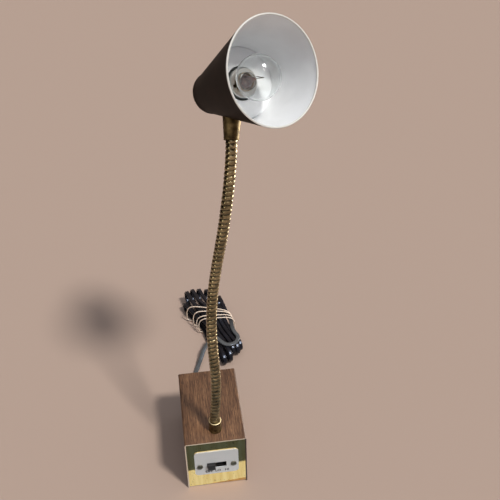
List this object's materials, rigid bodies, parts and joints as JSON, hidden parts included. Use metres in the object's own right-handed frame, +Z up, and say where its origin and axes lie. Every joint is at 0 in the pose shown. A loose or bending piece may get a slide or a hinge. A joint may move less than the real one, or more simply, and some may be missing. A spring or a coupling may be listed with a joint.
{
  "type": "table task lamp",
  "caption": "Small desk lamp with a wood-grained transformer base, flexible gooseneck neck, dark conical shade, clear globe bulb, slide switch and bundled cord.",
  "frame": {"origin": "centre of the flat underside of the base", "axes": "+Z up, -Y towards the front panel with the switch, +X to the right as seen from the front"},
  "size_m": [0.1264, 0.2884, 0.4645],
  "materials": {
    "rubber_pad": "matt",
    "plain_steel": "satin",
    "zinc_steel": "bright",
    "woodgrain_sheet": "wood-grained film, satin",
    "polished_brass": "polished",
    "grey_paint": "satin",
    "satin_plate": "brushed",
    "switch_plastic": "satin",
    "terminal_brass": "plain",
    "core_steel": "varnished",
    "winding": "varnished copper wire",
    "lead_rubber": "satin",
    "aged_brass": "antiqued",
    "shade_paint": "dark brown paint outside, white inside",
    "disc_paint": "white paint",
    "socket_metal": "dull",
    "clear_glass": "clear",
    "stem_glass": "clear, brown from use",
    "cord_black": "glossy",
    "tie_elastic": "matt"
  },
  "bodies": {
    "base": {"foot_pad": "rubber_pad", "bottom_plate": "plain_steel", "base_wrap": "woodgrain_sheet", "front_panel": "polished_brass", "rear_panel": "grey_paint", "chassis_screws": "zinc_steel", "switch_plate": "satin_plate", "plate_screws": "zinc_steel", "switch_body": "switch_plastic", "switch_terminals": "terminal_brass", "transformer_core": "core_steel", "transformer_coil": "winding", "transformer_strap": "plain_steel", "strap_screws": "zinc_steel", "base_leads": "lead_rubber", "strain_relief": "lead_rubber", "base_ferrule": "aged_brass", "neck_nipple": "terminal_brass", "neck_washer": "plain_steel", "neck_nut": "terminal_brass", "neck_foot": "aged_brass", "neck_leads": "lead_rubber", "cord_lead": "cord_black", "cord_hank": "cord_black", "cord_tail": "cord_black", "cord_ties": "tie_elastic", "plug_body": "cord_black", "plug_blades": "terminal_brass"},
    "switch": {"switch_slider": "switch_plastic"},
    "link_01": {"neck_link_01": "aged_brass"},
    "link_02": {"neck_link_02": "aged_brass"},
    "link_03": {"neck_link_03": "aged_brass"},
    "link_04": {"neck_link_04": "aged_brass"},
    "link_05": {"neck_link_05": "aged_brass"},
    "link_06": {"neck_link_06": "aged_brass"},
    "link_07": {"neck_link_07": "aged_brass"},
    "link_08": {"neck_link_08": "aged_brass"},
    "link_09": {"neck_link_09": "aged_brass"},
    "link_10": {"neck_link_10": "aged_brass"},
    "link_11": {"neck_link_11": "aged_brass"},
    "link_12": {"neck_link_12": "aged_brass"},
    "link_13": {"neck_link_13": "aged_brass"},
    "head": {"neck_tip": "aged_brass", "shade_ferrule": "aged_brass", "head_nipple": "terminal_brass", "saddle_washer": "plain_steel", "head_nut": "terminal_brass", "shade_shell": "shade_paint", "inner_disc": "disc_paint", "socket_shell": "socket_metal", "socket_bracket": "plain_steel", "socket_insulator": "switch_plastic", "contact_spring": "zinc_steel", "socket_contact": "terminal_brass", "bulb_glass": "clear_glass", "bulb_cap": "terminal_brass", "bulb_contact": "switch_plastic", "bulb_stem": "stem_glass", "bulb_filament": "zinc_steel"}
  },
  "joints": [
    {"name": "switch_slide", "type": "slide", "parent": "base", "child": "switch", "axis": [1, 0, 0], "range_m": [0, 0.01]},
    {"name": "bend_01_tilt", "type": "hinge", "parent": "base", "child": "link_01", "pos_m": [0.0015, -0.0307, 0.0857], "axis": [1, 0, 0], "range_deg": [-14, 16], "deforming": ["neck_leads"]},
    {"name": "bend_02_sway", "type": "hinge", "parent": "link_01", "child": "link_02", "pos_m": [0.00333, -0.02997, 0.10661], "axis": [0, 1, 0], "range_deg": [-15, 15]},
    {"name": "bend_03_tilt", "type": "hinge", "parent": "link_02", "child": "link_03", "pos_m": [0.0046, -0.02795, 0.12747], "axis": [1, 0, 0], "range_deg": [-14, 16]},
    {"name": "bend_04_sway", "type": "hinge", "parent": "link_03", "child": "link_04", "pos_m": [0.0046, -0.02449, 0.14818], "axis": [0, 1, 0], "range_deg": [-15, 15]},
    {"name": "bend_05_tilt", "type": "hinge", "parent": "link_04", "child": "link_05", "pos_m": [0.00407, -0.01994, 0.16868], "axis": [1, 0, 0], "range_deg": [-14, 16]},
    {"name": "bend_06_sway", "type": "hinge", "parent": "link_05", "child": "link_06", "pos_m": [0.00425, -0.01504, 0.1891], "axis": [0, 1, 0], "range_deg": [-15, 15]},
    {"name": "bend_07_tilt", "type": "hinge", "parent": "link_06", "child": "link_07", "pos_m": [0.00585, -0.0105, 0.20954], "axis": [1, 0, 0], "range_deg": [-14, 16]},
    {"name": "bend_08_sway", "type": "hinge", "parent": "link_07", "child": "link_08", "pos_m": [0.00856, -0.00703, 0.23007], "axis": [0, 1, 0], "range_deg": [-14, 14]},
    {"name": "bend_09_tilt", "type": "hinge", "parent": "link_08", "child": "link_09", "pos_m": [0.01218, -0.00465, 0.25062], "axis": [1, 0, 0], "range_deg": [-12, 18]},
    {"name": "bend_10_sway", "type": "hinge", "parent": "link_09", "child": "link_10", "pos_m": [0.01618, -0.00337, 0.2712], "axis": [0, 1, 0], "range_deg": [-14, 14]},
    {"name": "bend_11_tilt", "type": "hinge", "parent": "link_10", "child": "link_11", "pos_m": [0.02, -0.00209, 0.2918], "axis": [1, 0, 0], "range_deg": [-12, 18]},
    {"name": "bend_12_sway", "type": "hinge", "parent": "link_11", "child": "link_12", "pos_m": [0.02344, 0.00065, 0.31234], "axis": [0, 1, 0], "range_deg": [-14, 14]},
    {"name": "bend_13_tilt", "type": "hinge", "parent": "link_12", "child": "link_13", "pos_m": [0.02679, 0.00591, 0.33239], "axis": [1, 0, 0], "range_deg": [-12, 18]},
    {"name": "bend_14_sway", "type": "hinge", "parent": "link_13", "child": "head", "pos_m": [0.02965, 0.01412, 0.35151], "axis": [0, 1, 0], "range_deg": [-14, 14]}
  ],
  "couplings": [
    {"joint": "bend_03_tilt", "follows": "bend_01_tilt", "ratio": 1},
    {"joint": "bend_04_sway", "follows": "bend_02_sway", "ratio": 1},
    {"joint": "bend_05_tilt", "follows": "bend_01_tilt", "ratio": 1},
    {"joint": "bend_06_sway", "follows": "bend_02_sway", "ratio": 1},
    {"joint": "bend_07_tilt", "follows": "bend_01_tilt", "ratio": 1},
    {"joint": "bend_10_sway", "follows": "bend_08_sway", "ratio": 1},
    {"joint": "bend_11_tilt", "follows": "bend_09_tilt", "ratio": 1},
    {"joint": "bend_12_sway", "follows": "bend_08_sway", "ratio": 1},
    {"joint": "bend_13_tilt", "follows": "bend_09_tilt", "ratio": 1},
    {"joint": "bend_14_sway", "follows": "bend_08_sway", "ratio": 1}
  ]
}
